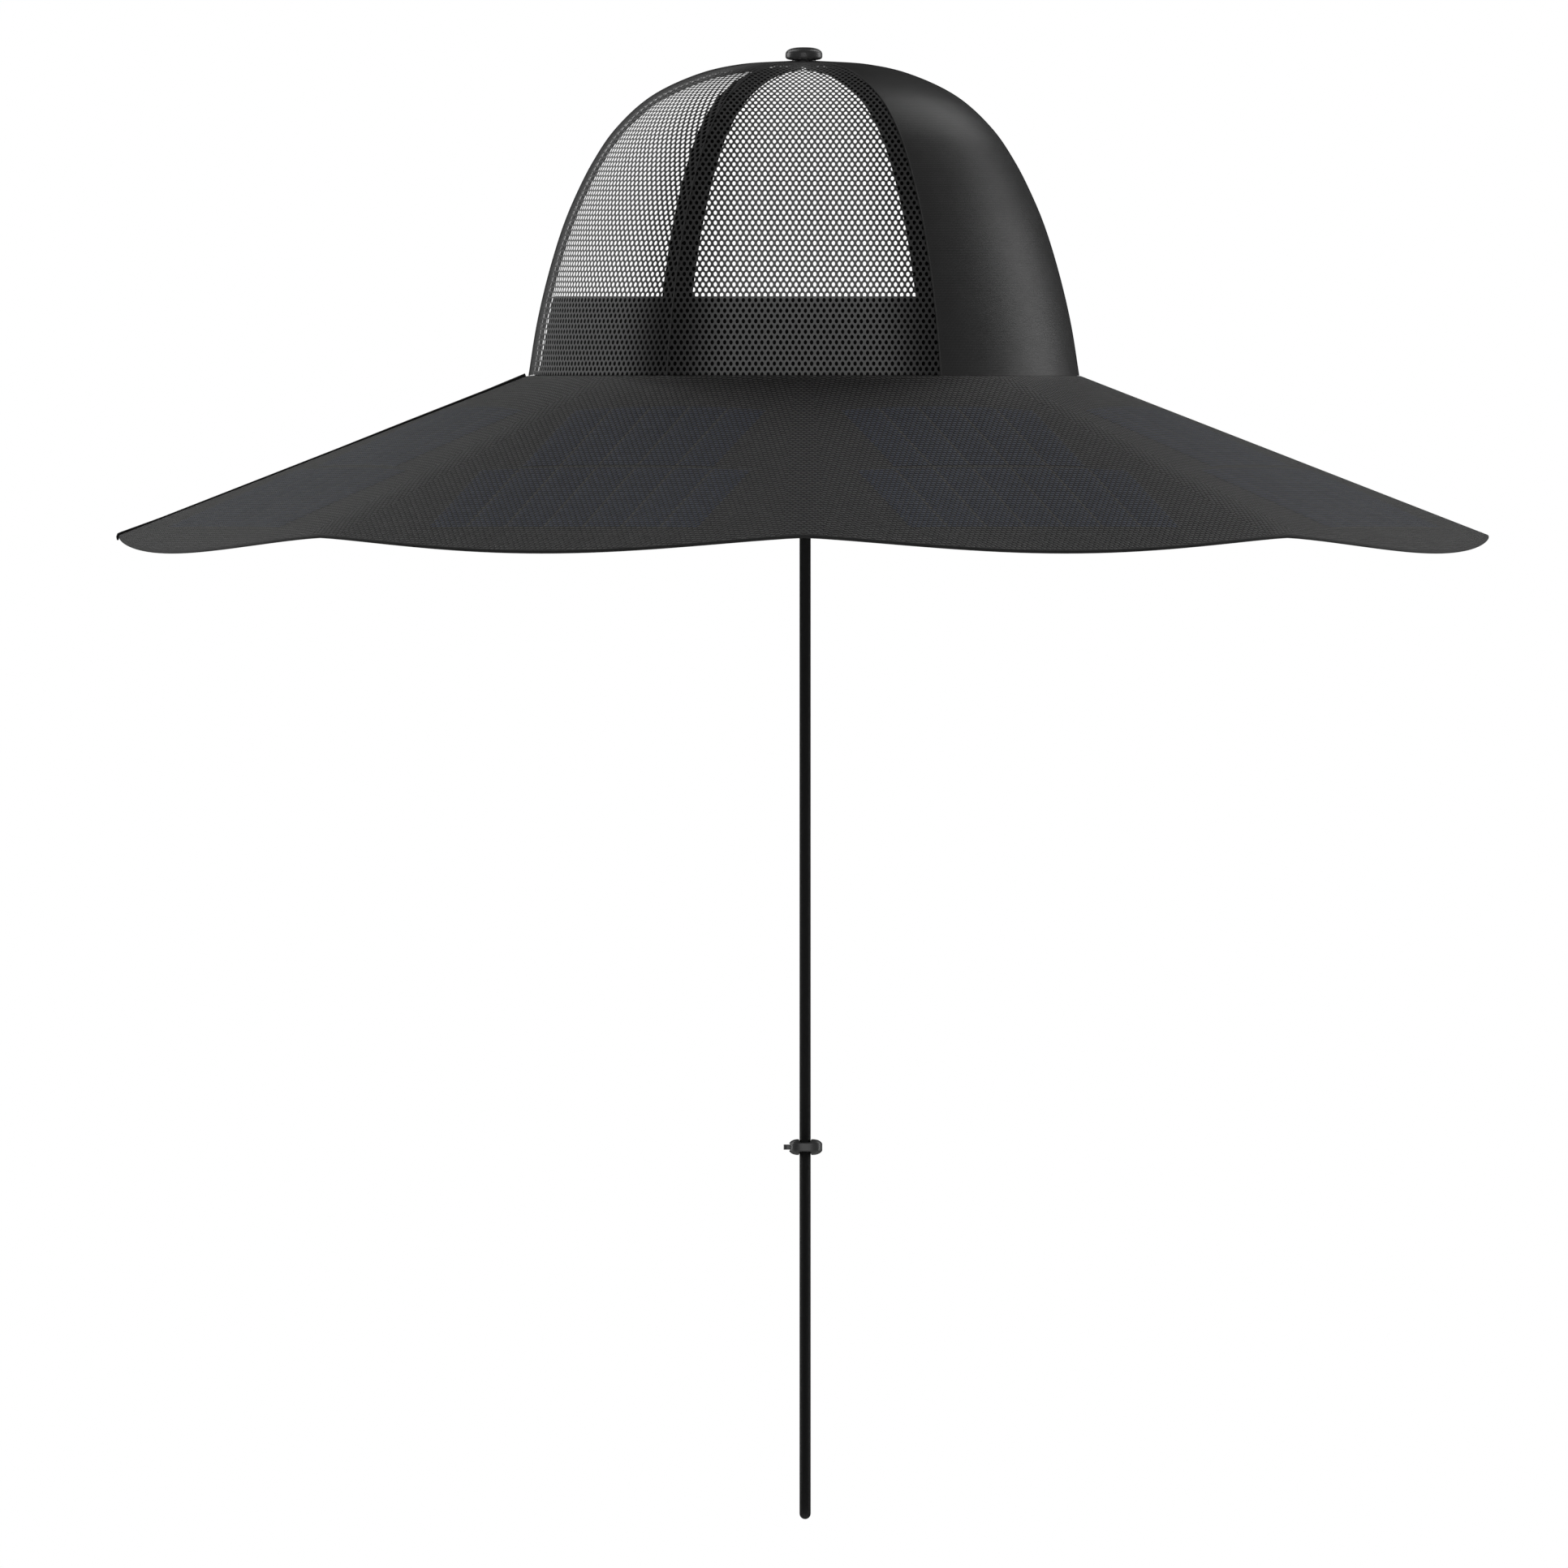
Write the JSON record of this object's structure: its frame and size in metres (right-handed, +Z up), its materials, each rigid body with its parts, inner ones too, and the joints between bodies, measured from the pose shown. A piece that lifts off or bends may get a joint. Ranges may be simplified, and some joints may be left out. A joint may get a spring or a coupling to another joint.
{
  "type": "solar panel hat",
  "caption": "Wide-brimmed sun hat with a half-net crown, a folded brim that carries solar panels, and a chin cord with a cord lock.",
  "frame": {"origin": "centre of the head opening, in the plane of the crown's base, where a head holds the hat up", "axes": "+X to the hat's front, +Y to the wearer's left, +Z up"},
  "size_m": [0.5004, 0.5, 0.537],
  "materials": {
    "woven_cloth": "fine dark twill with a soft sheen",
    "net_cloth": "black knitted trucker net with oval gaps",
    "tape_cloth": "matt black woven tape",
    "band_cloth": "matt dark sweatband cloth",
    "brim_film": "embossed film laminate with a fine staggered dash pattern",
    "binding_cloth": "smooth dark hem band",
    "piping_cord": "dark piped edge",
    "solar_cells": "bluish black cell strips under embossed film",
    "chin_cord": "smooth round black cord",
    "lock_plastic": "dark grey, half gloss"
  },
  "bodies": {
    "hat": {"crown_front_left": "woven_cloth", "crown_front_right": "woven_cloth", "crown_side_left": "net_cloth", "crown_side_right": "net_cloth", "crown_rear_left": "net_cloth", "crown_rear_right": "net_cloth", "seam_tape_front": "tape_cloth", "seam_tape_front_left": "tape_cloth", "seam_tape_front_right": "tape_cloth", "seam_tape_rear_left": "tape_cloth", "seam_tape_rear_right": "tape_cloth", "seam_tape_rear": "tape_cloth", "sweatband": "band_cloth", "top_button": "lock_plastic", "brim_binding": "binding_cloth", "brim_rear_piping": "piping_cord", "brim_section_1": "brim_film", "brim_section_2": "brim_film", "brim_section_3": "brim_film", "brim_section_4": "brim_film", "brim_section_5": "brim_film", "brim_section_6": "brim_film", "brim_section_7": "brim_film", "brim_section_8": "brim_film", "solar_panel_1": "solar_cells", "solar_panel_2": "solar_cells", "solar_panel_3": "solar_cells", "solar_panel_4": "solar_cells", "solar_panel_5": "solar_cells", "solar_panel_6": "solar_cells", "solar_panel_7": "solar_cells", "solar_panel_8": "solar_cells", "strap_tab_left": "tape_cloth", "strap_tab_right": "tape_cloth", "chin_cord": "chin_cord", "lock_body": "lock_plastic"},
    "button": {"lock_button": "lock_plastic"}
  },
  "joints": [
    {"name": "lock_button_press", "type": "slide", "parent": "hat", "child": "button", "axis": [1, 0, 0], "range_m": [0, 0.0015], "stiffness_N_per_m": 400}
  ]
}
